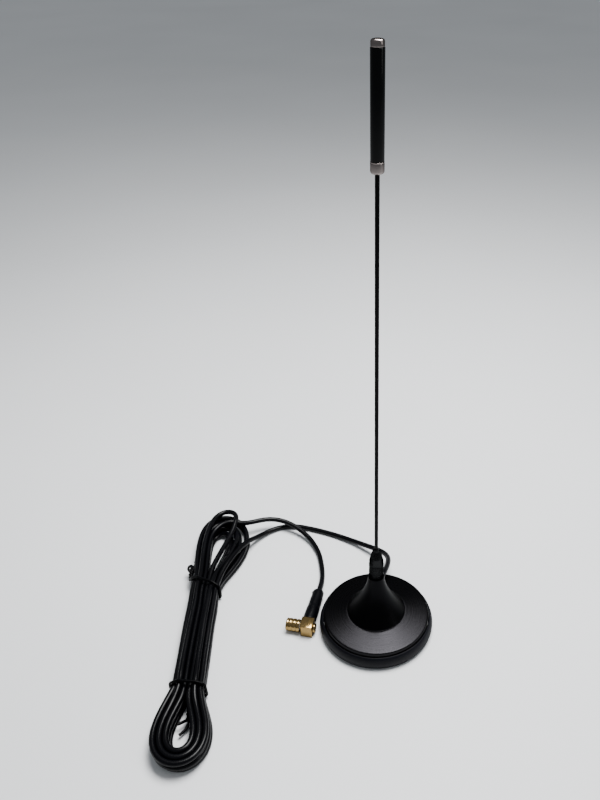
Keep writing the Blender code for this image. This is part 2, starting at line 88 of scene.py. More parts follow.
# Whip
STUD_BORE_R = 1.75
STUD_BORE_TOP = 42.9
ROD_BORE_R = 0.95
ROD_BORE_DEPTH = 4.0
BAND_Z = (43.1, 47.3)  # the ferrule's plain band, between its two knurled parts
CONE = ((3.0, 47.4), (2.3, 49.8), (1.5, 52.1))  # the ferrule's upper end, as (radius, height)
KNURL_TEETH = 28
KNURL_DEPTH = 0.24
KNURL_CLIMB = 2.85  # radians per millimetre
KNURL_STEP = 0.09
TUBE_WALL = 0.4
CAP_SPIGOT_R = 1.8  # of the two caps, inside the tube
CAP_SPIGOT_LENGTH = 3.0
LOWER_CAP_R = 2.55
UPPER_CAP_R = 2.36

# Plug: its block, and what stands out of it
BLOCK_X = 6.5
BLOCK_Y = 6.9
RECESS_R = 2.6
RECESS_DEPTH = 0.8
RECESS_SIDES = 48
CAP_PROUD = 1.25
CAP_R = 2.28
PLUG_GAP = 0.3
BARREL_LENGTH = 7.0
BARREL_BORE_R = 2.4
BARREL_RINGS = 3
BARREL_RING_STEP = 2.0
PIN_BORE_R = 0.78
PIN_R = 0.45
SLEEVE_LENGTH = 19.8
CRIMP_BORE_R = 2.5  # of the sleeve's wide end, round the crimp
CRIMP_BORE_LENGTH = 7.0
LEAD_BORE_R = 1.45

# Lead
CORD_D = 2.8
CORD_R = CORD_D / 2
CORD_STEP = 2.4  # spacing of the line's points while it settles
NEXT_POINTS = 5  # points this near along the line aren't another strand
TIGHTEST_BEND = 4.7
STIFFNESS = 0.3  # share of a change in bend that each round evens out
SLIDE = 0.2  # share of an uneven spacing that each round evens out
OPENING = 0.25  # share of a bend that is too tight that each round opens
ROUTE_PULL = (0.02, 0.008)  # how strongly the rough route holds the line, early and late
EARLY_SHARE = 0.6
ROUNDS = 300
LOOSE_ROUNDS = 2  # the last rounds, which only push the strands apart
HELD_LENGTH = 60.0  # of each free end, which stays on its route
EXIT_MOUTH = Vector((2.2, 16.2, 14.2))
EXIT_DIRECTION = Vector((0.15, 0.985, -0.05)).normalized()
LEAD_END = Vector((0, 20.5, 3.5))  # in the plug's frame, inside the sleeve

# From the grommet's mouth over the rim of the base, down to the surface and round to the hank
BASE_LEAD_ROUTE = [
    (2.25, 16.5, 14.18),
    (4.2, 22.8, 13.4),
    (6.1, 30.2, 11.5),
    (6.5, 37.8, 9.2),
    (4.0, 44.2, 7.0),
    (-1.8, 49.8, 5.0),
    (-7.5, 54.3, 3.4),
    (-13.5, 58.4, 2.3),
    (-25.6, 64.8, 1.5),
    (-37.4, 68.9, 1.45),
    (-47.5, 71.2, 1.45),
    (-55.6, 70.4, 1.5),
    (-63.2, 65.2, 2.2),
    (-68.6, 59.4, 3.2),
]

# From the top of the hank over the base lead to the plug's sleeve
PLUG_LEAD_ROUTE = [
    (-73.4, 66.3, 8.0),
    (-69.5, 68.8, 7.8),
    (-64.5, 70.8, 7.4),
    (-59.5, 71.4, 6.8),
    (-54.0, 70.8, 6.1),
    (-49.0, 68.7, 5.3),
    (-43.1, 64.9, 4.0),
    (-36.8, 58.2, 2.6),
    (-32.2, 49.3, 1.7),
    (-30.0, 40.0, 1.5),
    (-29.1, 32.0, 1.8),
    (-29.2, 25.5, 2.8),
    (-29.9, 20.4, 3.4),
    (-30.2, 18.8, 3.5),
]

# The hank's turns as (column, row), in the order in which the lead goes round: column 0 is
# outermost and row 2 is on top
TURNS = [(0, 2), (0, 1), (0, 0), (1, 0), (2, 0), (2, 1), (1, 1), (1, 2), (2, 2)]
ROW_HEIGHT = (1.5, 4.4, 7.4)
ROW_SHIFT = ((0.2, 1.4), (0.0, 0.0), (-0.5, 0.0))  # each row's lower loops, moved along X and Y
ROW_FAN = (0.0, 0.45, 0.0)  # columns by which each row's upper loops end further out
COLUMN_STEP = 1.95
COLUMN_RISE = (0.0, 1.3, 0.0)  # between the ties the middle column lies on the two beside it
MIDDLE_ROW_ASIDE = 0.4

# The hank's middle between the ties, as (y, x)
WAIST = [(22.0, -89.9), (10.0, -89.3), (-3.0, -88.9), (-16.0, -88.2), (-29.0, -87.5), (-41.0, -86.7)]

# The outermost and innermost loops past the ties; the others lie between them
UPPER_OUTER = [
    (-97.0, 34.0),
    (-98.3, 46.0),
    (-98.6, 58.0),
    (-96.4, 67.0),
    (-92.0, 72.3),
    (-86.0, 73.6),
    (-80.0, 71.0),
    (-75.2, 64.5),
    (-73.0, 55.5),
    (-74.6, 44.0),
    (-79.2, 32.5),
]
UPPER_INNER = [
    (-92.2, 34.0),
    (-93.1, 45.0),
    (-93.4, 54.0),
    (-92.7, 59.6),
    (-90.9, 62.9),
    (-88.4, 64.0),
    (-86.0, 62.6),
    (-84.5, 58.6),
    (-84.3, 52.0),
    (-85.5, 42.0),
    (-87.8, 32.5),
]
LOWER_OUTER = [
    (-80.2, -46.0),
    (-78.9, -51.0),
    (-77.0, -57.0),
    (-75.2, -62.5),
    (-74.3, -68.5),
    (-75.1, -74.0),
    (-78.2, -78.6),
    (-83.4, -80.6),
    (-89.4, -79.2),
    (-94.2, -75.0),
    (-96.5, -68.5),
    (-96.4, -61.0),
    (-95.0, -53.0),
    (-93.4, -46.0),
]
LOWER_INNER = [
    (-85.0, -45.0),
    (-83.6, -50.0),
    (-81.0, -56.0),
    (-79.2, -62.5),
    (-78.6, -68.5),
    (-79.5, -72.6),
    (-82.0, -75.6),
    (-85.3, -76.1),
    (-88.5, -74.1),
    (-90.6, -69.8),
    (-91.1, -63.6),
    (-90.2, -57.0),
    (-88.6, -50.5),
    (-87.9, -45.0),
]
# The last whole turn stands up over the others
HIGH_LOOP = [
    (-94.2, 36.0, 8.6),
    (-94.9, 48.0, 9.2),
    (-94.6, 60.0, 9.6),
    (-92.4, 69.5, 9.8),
    (-88.4, 75.0, 9.8),
    (-83.6, 75.0, 9.6),
    (-80.8, 69.5, 9.4),
    (-81.0, 61.0, 9.2),
    (-83.2, 50.0, 9.2),
    (-85.8, 39.5, 9.0),
    (-88.0, 30.5, 8.6),
]
# The lead from the base climbs on to the hank, and the lead to the plug leaves its inner loop
JOINING = [(-72.3, 54.0, 5.6), (-75.6, 46.5, 7.6), (-79.2, 37.5, 8.4), (-82.0, 30.0, 8.2)]
LEAVING = [
    (-91.6, 34.0, 7.6),
    (-92.6, 45.0, 7.7),
    (-93.0, 54.0, 7.8),
    (-91.4, 61.5, 7.9),
    (-87.4, 66.0, 8.0),
    (-80.6, 66.6, 8.0),
]
TIE_R = 0.7
TIE_TOP = 10.6
TIE_REACH = 16.0  # strands this far to either side of a tie's middle pass through it
TIE_GRIP = 3.0  # length of the strands that a tie squeezes, to either side
TIE_RAMP = 6.0  # length over which they climb on to its wire
TIE_STEPS = 72
TWIST_PITCH = 3.2
TWIST_STEP = 0.25

# Each tie's middle, half width over its wire, and turn
TIES = {
    "tie_upper": (Vector((-89.8, 20.0)), 9.3, math.radians(-22)),
    "tie_lower": (Vector((-86.6, -42.6)), 8.2, math.radians(-3)),
}
# Where each tie's two ends are twisted together, and where they splay
TIE_TAILS = {
    "tie_upper": [(-98.4, 24.6, 6.2), (-98.9, 27.4, 6.8), (-99.0, 30.0, 6.9), (-98.9, 32.6, 6.6)],
    "tie_lower": [(-86.0, -43.6, 1.5), (-85.5, -46.7, 1.55), (-85.0, -50.2, 1.6), (-84.6, -53.7, 1.6)],
}
TIE_ENDS = {
    "tie_upper": [
        [(-99.9, 34.4, 6.4), (-101.2, 34.2, 6.2), (-101.5, 32.6, 5.9), (-100.8, 31.4, 5.6)],
        [(-98.3, 34.8, 6.4), (-98.2, 36.6, 6.2), (-98.9, 37.8, 6.0)],
    ],
    "tie_lower": [
        [(-84.8, -56.4, 2.6), (-86.2, -58.4, 3.6), (-88.2, -60.0, 4.2)],
        [(-83.9, -57.4, 1.7), (-84.7, -60.8, 1.9), (-86.8, -64.0, 2.4)],
    ],
}


# ---------------------------------------------------------------- camera


def make_camera():
    data = bpy.data.cameras.new("camera")
    data.lens = CAMERA_LENS
    data.shift_x = CAMERA_SHIFT
    data.clip_start = 0.01
    camera = bpy.data.objects.new("camera", data)
    camera.location = Vector(CAMERA_PLACE) * MM
    camera.rotation_euler.x = math.radians(90 - CAMERA_DIP)
    bpy.context.scene.collection.objects.link(camera)
    bpy.context.scene.camera = camera


# ---------------------------------------------------------------- nodes


def fill(tree, socket, value):
    """Links a node's output to an input, or sets the input's value."""
    if isinstance(value, bpy.types.NodeSocket):
        tree.links.new(value, socket)
    else:
        socket.default_value = value


def node(tree, kind, inputs=None, **settings):
    """A shader node with its settings made and its inputs filled or linked."""
    made = tree.nodes.new(kind)
    for key, value in settings.items():
        setattr(made, key, value)
    for key, value in (inputs or {}).items():
        fill(tree, made.inputs[key], value)
    return made


def start_material(name):
    material = bpy.data.materials.new(name)
    material.use_nodes = True
    tree = material.node_tree
    return material, tree, tree.nodes["Principled BSDF"]


def noise(tree, place, scale, detail=3.0, roughness=0.5, dimensions="3D"):
    key = "W" if dimensions == "1D" else "Vector"
    inputs = {key: place, "Scale": scale, "Detail": detail, "Roughness": roughness}
    return node(tree, "ShaderNodeTexNoise", inputs, noise_dimensions=dimensions).outputs["Fac"]


def spread(tree, value, low, high, start=0.3, end=0.7):
    """Stretches a noise's middle values over low to high."""
    inputs = {"Value": value, "From Min": start, "From Max": end, "To Min": low, "To Max": high}
    return node(tree, "ShaderNodeMapRange", inputs).outputs["Result"]


def tone(tree, factor, dark, light):
    """A mix of two colours, each given as a triple or as a node's output."""
    mix = tree.nodes.new("ShaderNodeMix")
    mix.data_type = "RGBA"
    fill(tree, mix.inputs[0], factor)
    for socket, color in zip(mix.inputs[6:8], (dark, light)):
        fill(tree, socket, color if isinstance(color, bpy.types.NodeSocket) else (*color, 1.0))
    return mix.outputs[2]


def maths(tree, operation, a, b=0.0):
    made = tree.nodes.new("ShaderNodeMath")
    made.operation = operation
    fill(tree, made.inputs[0], a)
    fill(tree, made.inputs[1], b)
    return made.outputs[0]


def bump(tree, surface, height, distance):
    raised = node(tree, "ShaderNodeBump", {"Height": height, "Distance": distance * MM})
    tree.links.new(raised.outputs["Normal"], surface.inputs["Normal"])


def object_place(tree):
    return node(tree, "ShaderNodeTexCoord").outputs["Object"]


def less_at_edges(tree, value):
    """A gloss that fades where the surface turns away."""
    facing = node(tree, "ShaderNodeLayerWeight", {"Blend": 0.5}).outputs["Facing"]
    return spread(tree, facing, value, 0.0, 0.4, 0.95)


def soft_material(name, color, roughness, grain, depth, dust=0.0, coat=0.0, shine=0.5):
    """Rubber, plastic or paint: uneven tone and gloss, a fine grain and a little dust."""
    material, tree, surface = start_material(name)
    place = object_place(tree)
    broad = noise(tree, place, 30.0, 4.0)
    fine = noise(tree, place, 1000.0 / grain, 2.0)
    dark = [0.78 * c for c in color]
    light = [1.3 * c for c in color]
    base = tone(tree, spread(tree, broad, 0.0, 1.0), dark, light)
    if dust:
        specks = noise(tree, place, 1000.0 / (2.5 * grain), 1.0, 0.9)
        base = tone(tree, spread(tree, specks, 0.0, dust, 0.66, 0.74), base, DUST_COLOR)
    tree.links.new(base, surface.inputs["Base Color"])
    both = maths(tree, "ADD", maths(tree, "MULTIPLY", broad, 0.6), maths(tree, "MULTIPLY", fine, 0.4))
    tree.links.new(spread(tree, both, roughness - 0.07, roughness + 0.1), surface.inputs["Roughness"])
    tree.links.new(less_at_edges(tree, shine), surface.inputs["Specular IOR Level"])
    if coat:
        tree.links.new(less_at_edges(tree, coat), surface.inputs["Coat Weight"])
    surface.inputs["Coat Roughness"].default_value = 0.12
    bump(tree, surface, fine, depth)
    return material


def metal_material(
    name, color, roughness, brushed="", spacing=0.25, depth=0.004, stain=0.15, turn=0.0, edge=1.0
):
    """Metal with fine marks: "turned" runs them round the axis and "drawn" along it."""
    material, tree, surface = start_material(name)
    place = object_place(tree)
    parts = node(tree, "ShaderNodeSeparateXYZ", {"Vector": place})
    broad = noise(tree, place, 90.0, 4.0)
    fine = noise(tree, place, 1500.0, 3.0)
    if brushed == "turned":
        x_squared, y_squared = (maths(tree, "POWER", parts.outputs[axis], 2.0) for axis in "XY")
        radius = maths(tree, "SQRT", maths(tree, "ADD", x_squared, y_squared))
        along = maths(tree, "ADD", radius, parts.outputs["Z"])
        marks = noise(tree, along, 1000.0 / spacing, 3.0, 0.7, "1D")
    elif brushed == "drawn":
        stretched = node(tree, "ShaderNodeMapping", {"Vector": place, "Scale": (1.0, 1.0, 0.03)})
        marks = noise(tree, stretched.outputs["Vector"], 1000.0 / spacing, 2.0)
    else:
        marks = fine
    dark = [(1 - stain) * c for c in color]
    light = [min(1.0, (1 + 0.5 * stain) * c) for c in color]
    shade = maths(tree, "ADD", maths(tree, "MULTIPLY", broad, 0.5), maths(tree, "MULTIPLY", marks, 0.5))
    tree.links.new(tone(tree, spread(tree, shade, 0.0, 1.0), dark, light), surface.inputs["Base Color"])
    surface.inputs["Metallic"].default_value = 1.0
    surface.inputs["Specular Tint"].default_value = (edge, edge, edge, 1.0)
    worn = maths(tree, "ADD", maths(tree, "MULTIPLY", fine, 0.4), maths(tree, "MULTIPLY", marks, 0.6))
    tree.links.new(spread(tree, worn, roughness - 0.05, roughness + 0.08), surface.inputs["Roughness"])
    if turn:
        surface.inputs["Anisotropic"].default_value = turn
        tangent = node(tree, "ShaderNodeTangent", direction_type="RADIAL", axis="Z")
        tree.links.new(tangent.outputs["Tangent"], surface.inputs["Tangent"])
    bump(tree, surface, marks, depth)
    return material


# ---------------------------------------------------------------- shapes


def piece(name, data, material, body, slot, *nodes, place=None):
    """Puts a mesh or curve in the scene as a piece that rides on a body and stands for CAD nodes."""
    data.materials.append(material)
    obj = bpy.data.objects.new(name, data)
    if place is not None:
        obj.matrix_world = place
    bpy.context.scene.collection.objects.link(obj)
    bpy.context.view_layer.update()
    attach(obj, body)
    if nodes:
        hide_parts(*nodes)
    return obj


def mesh_from(bm, name, sharp=35):
    bmesh.ops.recalc_face_normals(bm, faces=bm.faces)
    bmesh.ops.scale(bm, vec=(MM, MM, MM), verts=bm.verts)
    mesh = bpy.data.meshes.new(name)
    bm.to_mesh(mesh)
    bm.free()
    mesh.shade_smooth()
    mesh.set_sharp_from_angle(angle=math.radians(sharp))
    return mesh


def filleted(loop, radius):
    """A closed outline with its corners rounded, as far as their sides allow."""
    steps = 3
    rounded = []
    for before, corner, after in zip(loop[-1:] + loop[:-1], loop, loop[1:] + loop[:1]):
        middle = Vector(corner)
        back = Vector(before) - middle
        ahead = Vector(after) - middle
        if corner[0] <= 0 or back.angle(ahead) > math.radians(165):
            rounded.append(corner)
            continue
        reach = min(radius, 0.45 * back.length, 0.45 * ahead.length)
        start = middle + back.normalized() * reach
        end = middle + ahead.normalized() * reach
        for i in range(steps + 1):
            t = i / steps
            rounded.append(tuple(start * (1 - t) ** 2 + middle * 2 * t * (1 - t) + end * t**2))
    return rounded


def turned_mesh(name, loop, sides=SIDES, relief=None, sharp=35):
    """A closed outline of (radius, height) turned about Z; relief gives each point's own radius."""
    bm = bmesh.new()
    rings = []
    for radius, height in loop:
        if radius <= 0:
            rings.append([bm.verts.new((0, 0, height))])
            continue
        ring = []
        for i in range(sides):
            angle = 2 * math.pi * i / sides
            r = relief(radius, height, angle) if relief else radius
            ring.append(bm.verts.new((r * math.cos(angle), r * math.sin(angle), height)))
        rings.append(ring)
    for ring, following in zip(rings, rings[1:] + rings[:1]):
        if len(ring) == 1 and len(following) == 1:
            continue
        for i in range(sides):
            corners = [
                ring[i % len(ring)],
                ring[(i + 1) % len(ring)],
                following[(i + 1) % len(following)],
                following[i % len(following)],
            ]
            bm.faces.new(list(dict.fromkeys(corners)))
    return mesh_from(bm, name, sharp)


def in_steps(start, end, step):
    """Points from one (radius, height) to another, step apart, without the last."""
    a, b = Vector(start), Vector(end)
    count = max(1, round((b - a).length / step))
    return [tuple(a.lerp(b, i / count)) for i in range(count)]


def wire_curve(name, points, radius, resolution=4):
    curve = bpy.data.curves.new(name, "CURVE")
    curve.dimensions = "3D"
    curve.bevel_depth = radius * MM
    curve.bevel_resolution = resolution
    curve.use_fill_caps = True
    spline = curve.splines.new("POLY")
    spline.points.add(len(points) - 1)
    for spot, point in zip(spline.points, points):
        spot.co = (*(Vector(point) * MM), 1.0)
    return curve


def span(name):
    """A round node's outer radius, lowest and highest point."""
    low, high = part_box(name)
    return (high.x - low.x) / 2 / MM, low.z / MM, high.z / MM


# ---------------------------------------------------------------- the lead's line


def lane(column, row):
    """How far a turn's strands run from the hank's middle between the ties."""
    return CORD_R + COLUMN_STEP * (2 - column) + (MIDDLE_ROW_ASIDE if row == 1 else 0.0)


def between(outer, inner, column):
    """A column's loop, between the outermost and the innermost."""
    return [Vector(p).lerp(Vector(q), column / 2) for p, q in zip(outer, inner)]


def wander(number, y):
    """How far a turn's strands stray sideways and upwards between the ties."""
    phase = 2.4 * number
    return 0.5 * math.sin(y / 24 + phase), 0.4 * math.sin(y / 19 + 2 * phase)


def upper_loop(turn, following):
    """An upper loop that passes from one turn's column and row to the next one's."""
    start = between(UPPER_OUTER, UPPER_INNER, turn[0])
    end = between(UPPER_OUTER, UPPER_INNER, max(0.0, following[0] - ROW_FAN[following[1]]))
    points = []
    for i, (p, q) in enumerate(zip(start, end)):
        share = i / (len(start) - 1)
        share = share * share * (3 - 2 * share)
        low, high = ROW_HEIGHT[turn[1]], ROW_HEIGHT[following[1]]
        points.append((*p.lerp(q, share), low + (high - low) * share))
    return points


def cord_route():
    """The lead's rough route from the base, nine times round the hank, and on to the plug."""
    inside = EXIT_MOUTH - EXIT_DIRECTION * 2.0
    points = [tuple(inside), *BASE_LEAD_ROUTE, *JOINING]
    for number, (column, row) in enumerate(TURNS):
        height = ROW_HEIGHT[row]
        raised = height + COLUMN_RISE[column]
        for y, x in WAIST:
            aside, up = wander(number, y)
            points.append((x + lane(column, row) + aside, y, raised + up))
        aside, along = ROW_SHIFT[row]
        lower = between(LOWER_OUTER, LOWER_INNER, column)
        points += [(p.x + aside, p.y + along, height) for p in lower]
        for y, x in reversed(WAIST):
            aside, up = wander(number + 0.5, y)
            points.append((x - lane(column, row) + aside, y, raised + up))
        if number < len(TURNS) - 2:
            points += upper_loop(TURNS[number], TURNS[number + 1])
        elif number < len(TURNS) - 1:
            points += HIGH_LOOP
    return points + LEAVING + PLUG_LEAD_ROUTE


def evenly(points, step):
    """Points step apart on a smooth curve through the given ones."""
    knots = np.array([tuple(p) for p in points], float)
    t = np.linspace(0, 1, 24, endpoint=False)[:, None]
    fine = []
    for i in range(len(knots) - 1):
        a, b, c, d = (knots[min(max(i + k, 0), len(knots) - 1)] for k in (-1, 0, 1, 2))
        square = 2 * a - 5 * b + 4 * c - d
        cube = 3 * b - a - 3 * c + d
        fine.append(0.5 * (2 * b + (c - a) * t + square * t**2 + cube * t**3))
    fine = np.vstack([*fine, knots[-1:]])
    lengths = np.concatenate([[0], np.cumsum(np.linalg.norm(np.diff(fine, axis=0), axis=1))])
    wanted = np.linspace(0, lengths[-1], round(lengths[-1] / step) + 1)
    return np.stack([np.interp(wanted, lengths, fine[:, i]) for i in range(3)], axis=1)


def near_pairs(line):
    """Pairs of points of different stretches of the line that are near each other."""
    squares = (line * line).sum(1)
    apart = squares[:, None] + squares[None, :] - 2 * line @ line.T
    return np.nonzero(np.triu(apart < (1.5 * CORD_D) ** 2, NEXT_POINTS))


def pushed_apart(line, pairs):
    """Moves each point and the segments near it apart to a diameter."""
    move = np.zeros_like(line)
    count = np.zeros(len(line))
    for points, others in (pairs, pairs[::-1]):
        for side in (-1, 1):
            ends = np.clip(others + side, 0, len(line) - 1)
            segment = line[ends] - line[others]
            size = np.maximum((segment * segment).sum(1), 1e-9)
            share = np.clip(((line[points] - line[others]) * segment).sum(1) / size, 0, 1)
            gap = line[points] - line[others] - segment * share[:, None]
            distance = np.linalg.norm(gap, axis=1)
            hit = distance < CORD_D
            push = gap[hit] * ((CORD_D - distance[hit]) / 2 / np.maximum(distance[hit], 1e-6))[:, None]
            part = share[hit]
            for index, sign, weight in (
                (points[hit], 1, np.ones(len(part))),
                (others[hit], -1, 1 - part),
                (ends[hit], -1, part),
            ):
                np.add.at(move, index, sign * push * weight[:, None])
                np.add.at(count, index, weight)
    return line + move / np.maximum(count, 1)[:, None]


def straightened(line):
    """Evens out how the line's bend changes along it, and opens what bends too tightly."""
    bend = np.zeros_like(line)
    ahead = np.zeros_like(line)
    bend[1:-1] = (line[:-2] + line[2:]) / 2 - line[1:-1]
    ahead[1:-1] = line[2:] - line[:-2]
    reach = np.maximum(np.linalg.norm(ahead, axis=1), 1e-6)[:, None] / 2
    ahead /= 2 * reach
    slide = (bend * ahead).sum(1)[:, None] * ahead
    better = line + SLIDE * slide
    better[2:-2] += STIFFNESS * (bend[2:-2] - (bend[1:-3] + bend[3:-1]) / 2)
    size = np.linalg.norm(bend - slide, axis=1)[:, None]
    limit = reach**2 / (2 * TIGHTEST_BEND)
    return better + OPENING * (bend - slide) * np.clip(size - limit, 0, None) / np.maximum(size, 1e-6)


def places_in_tie(line, middle, turn):
    """A tie's direction, and how far across and along from its middle each point of the line is."""
    across = np.array((math.cos(turn), math.sin(turn)))
    offset = line[:, :2] - np.array(middle)
    return across, offset @ across, offset @ np.array((-across[1], across[0]))


def held_by_ties(line):
    """Keeps the strands inside the ties, off the surface and over the ties' wire."""
    floor = np.full(len(line), CORD_R)
    for middle, half, turn in TIES.values():
        across, sideways, along = places_in_tie(line, middle, turn)
        inside = np.abs(sideways) < TIE_REACH
        floor = np.maximum(floor, CORD_R + 2 * TIE_R * np.exp(-((along / TIE_RAMP) ** 2)) * inside)
        tight = inside & (np.abs(along) < TIE_GRIP)
        limit = half - TIE_R - CORD_R
        over = np.clip(np.abs(sideways) - limit, 0, None) * np.sign(sideways) * tight
        line[:, :2] -= (over / 2)[:, None] * across
        line[:, 2] -= np.clip(line[:, 2] - (TIE_TOP - CORD_R), 0, None) * tight / 2
    line[:, 2] = np.maximum(line[:, 2], floor)
    return line


def settled(line):
    """Lets the turns settle beside and on each other, with the free ends held where they are."""
    home = line.copy()
    ends = round(HELD_LENGTH / CORD_STEP)
    for number in range(ROUNDS):
        if number % 5 == 0:
            pairs = near_pairs(line)
        line = pushed_apart(line, pairs)
        line += (home - line) * ROUTE_PULL[number >= EARLY_SHARE * ROUNDS]
        if number < ROUNDS - LOOSE_ROUNDS:
            line = straightened(line)
        line = held_by_ties(line)
        line[:ends] = home[:ends]
        line[-ends:] = home[-ends:]
    return line


def make_lead(material, plug_frame):
    """The lead as one cord, from inside the grommet to inside the plug's sleeve."""
    line = settled(evenly([*cord_route(), plug_frame @ LEAD_END], CORD_STEP))
    fine = evenly(line, CORD_STEP / 2)
    lead = piece(
        "lead", wire_curve("lead", fine, CORD_R, resolution=6), material, "base", "cable_jacket",
        "cable_run", "cable_hank", "cable_tail",
    )
    return lead, line


# ---------------------------------------------------------------- whip


def knurled(low, high):
    """A diamond knurl between two heights, fading out at its ends."""

    def relief(radius, height, angle):
        if not low < height < high:
            return radius
        fade = min(1.0, (height - low) / 0.25, (high - height) / 0.25)
        across = KNURL_TEETH / 2 * angle
        climb = KNURL_CLIMB * height
        grooves = min(abs(math.sin(across + climb)), abs(math.sin(across - climb)))
        return radius - KNURL_DEPTH * fade * (1 - grooves) ** 1.3

    return relief


def make_ferrule(materials):
    """The whip's foot: knurled round the stud, a plain band, and a knurled cone round the rod."""
    radius, low, tip = span("whip_ferrule")
    face = radius - 0.02
    band_low, band_high = BAND_Z
    middle = (band_low + band_high) / 2
    loop = [(STUD_BORE_R, low), (radius - 0.4, low), (radius - 0.1, low + 0.15), (face, low + 0.5)]
    loop += [(face, low + 1.5), (radius - 0.16, low + 1.6), (radius - 0.16, low + 1.75)]
    loop += in_steps((face, low + 1.85), (face, band_low - 0.2), KNURL_STEP)
    loop += [(face, band_low - 0.2), (radius - 0.2, band_low), (radius - 0.16, middle)]
    loop += in_steps((radius - 0.2, middle + 0.1), (CONE[0][0] + 0.05, band_high - 0.05), 0.4)
    for start, end in zip(CONE, CONE[1:]):
        loop += in_steps(start, end, KNURL_STEP)
    seat = tip - ROD_BORE_DEPTH
    loop += [CONE[-1], (1.25, tip), (ROD_BORE_R, tip), (ROD_BORE_R, seat), (0.0, seat)]
    loop += [(0.0, STUD_BORE_TOP), (STUD_BORE_R, STUD_BORE_TOP)]
    lower = knurled(low + 1.85, band_low - 0.2)
    upper = knurled(band_high + 0.2, tip - 1.2)

    def relief(r, height, angle):
        if r < 1.3 or r == STUD_BORE_R:
            return r
        return lower(r, height, angle) if height < band_low else upper(r, height, angle)

    mesh = turned_mesh("whip_ferrule", loop, 224, relief, sharp=50)
    piece("knurled_ferrule", mesh, materials["knurl"], "whip", "black_anodised", "whip_ferrule")


def make_seal(materials):
    radius, low, high = span("whip_seal")
    loop = [(STUD_BORE_R, low), (radius, low), (radius, high), (STUD_BORE_R, high)]
    ring = turned_mesh("seal_ring", filleted(loop, 0.2))
    piece("seal_ring", ring, materials["rubber"], "seal", "black_rubber", "whip_seal")


def make_rod(materials):
    radius, low, high = span("whip_rod")
    loop = [(0.0, low), *in_steps((radius, low), (radius, high), 4.0), (radius, high), (0.0, high)]
    rod = turned_mesh("rod", loop, 48)
    piece("rod", rod, materials["black_paint"], "whip", "black_paint", "whip_rod")


def make_tube(materials):
    radius, low, high = span("coil_tube")
    bore = radius - TUBE_WALL
    loop = [(bore, low), (radius, low), (radius, high), (bore, high)]
    tube = turned_mesh("tube", filleted(loop, 0.12))
    piece("tube", tube, materials["gloss_black"], "whip", "gloss_black", "coil_tube")


def make_lower_cap(materials):
    low = span("coil_lower_cap")[1]
    seat = span("coil_tube")[1]
    loop = [
        (ROD_BORE_R, low),
        (1.75, low),
        (2.2, low + 0.2),
        (2.47, low + 0.55),
        (LOWER_CAP_R, low + 1.1),
        (LOWER_CAP_R, seat - 0.75),
        (LOWER_CAP_R - 0.1, seat - 0.65),
        (LOWER_CAP_R - 0.1, seat - 0.5),
        (LOWER_CAP_R, seat - 0.4),
        (LOWER_CAP_R, seat - 0.15),
        (CAP_SPIGOT_R, seat - 0.15),
        (CAP_SPIGOT_R, seat + CAP_SPIGOT_LENGTH),
        (0.0, seat + CAP_SPIGOT_LENGTH),
        (0.0, low + 3.2),
        (ROD_BORE_R, low + 3.2),
    ]
    lower_cap = turned_mesh("lower_cap", filleted(loop, 0.12))
    piece("lower_cap", lower_cap, materials["nickel"], "whip", "nickel_plate", "coil_lower_cap")


def make_upper_cap(materials):
    top = span("top_cap")[2]
    rim = span("coil_tube")[2]
    loop = [
        (0.0, rim - CAP_SPIGOT_LENGTH),
        (CAP_SPIGOT_R, rim - CAP_SPIGOT_LENGTH),
        (CAP_SPIGOT_R, rim + 0.12),
        (UPPER_CAP_R - 0.08, rim + 0.12),
        (UPPER_CAP_R, rim + 0.35),
        (UPPER_CAP_R, top - 1.0),
        (2.24, top - 0.55),
        (1.95, top - 0.26),
        (1.5, top - 0.12),
        (0.9, top - 0.04),
        (0.0, top),
    ]
    cap = turned_mesh("upper_cap", filleted(loop, 0.12), sharp=45)
    piece("upper_cap", cap, materials["nickel"], "whip", "nickel_plate", "top_cap")


# ---------------------------------------------------------------- base


def make_boot(materials):
    radius, low, high = span("rubber_boot")
    loop = [
        (BOOT_BORE_R, low),
        (radius - 1.6, low),
        (radius - 1.1, low + 0.25),
        (radius - 0.6, low + 0.8),
        (radius - 0.2, low + 1.7),
        (radius, low + 2.9),
        (radius, low + 3.6),
        (radius - 0.1, low + 4.7),
        (radius - 0.35, low + 5.5),
        (radius - 0.65, low + 6.3),
        (radius - 1.0, low + 6.85),
        (radius - 1.35, high - 0.12),
        (radius - 1.65, high),
        (BOOT_BORE_R, high - 0.1),
    ]
    boot = turned_mesh("boot", filleted(loop, 0.4), 192)
    piece("boot", boot, materials["rubber"], "base", "black_rubber", "rubber_boot")


def make_pad(materials):
    """The pad under the magnet, with shallow rings in its underside."""
    radius, low, high = span("base_pad")
    loop = [(0.0, low)]
    groove = low + PAD_RING_DEPTH
    for i in range(PAD_RINGS):
        start = 4.0 + PAD_RING_STEP * i
        loop += [(start, low), (start + 0.3, groove), (start + 0.9, groove), (start + 1.2, low)]
    loop += [(radius, low), (radius, high), (0.0, high)]
    pad = turned_mesh("pad", loop, 192)
    piece("pad", pad, materials["rubber"], "base", "black_rubber", "base_pad")


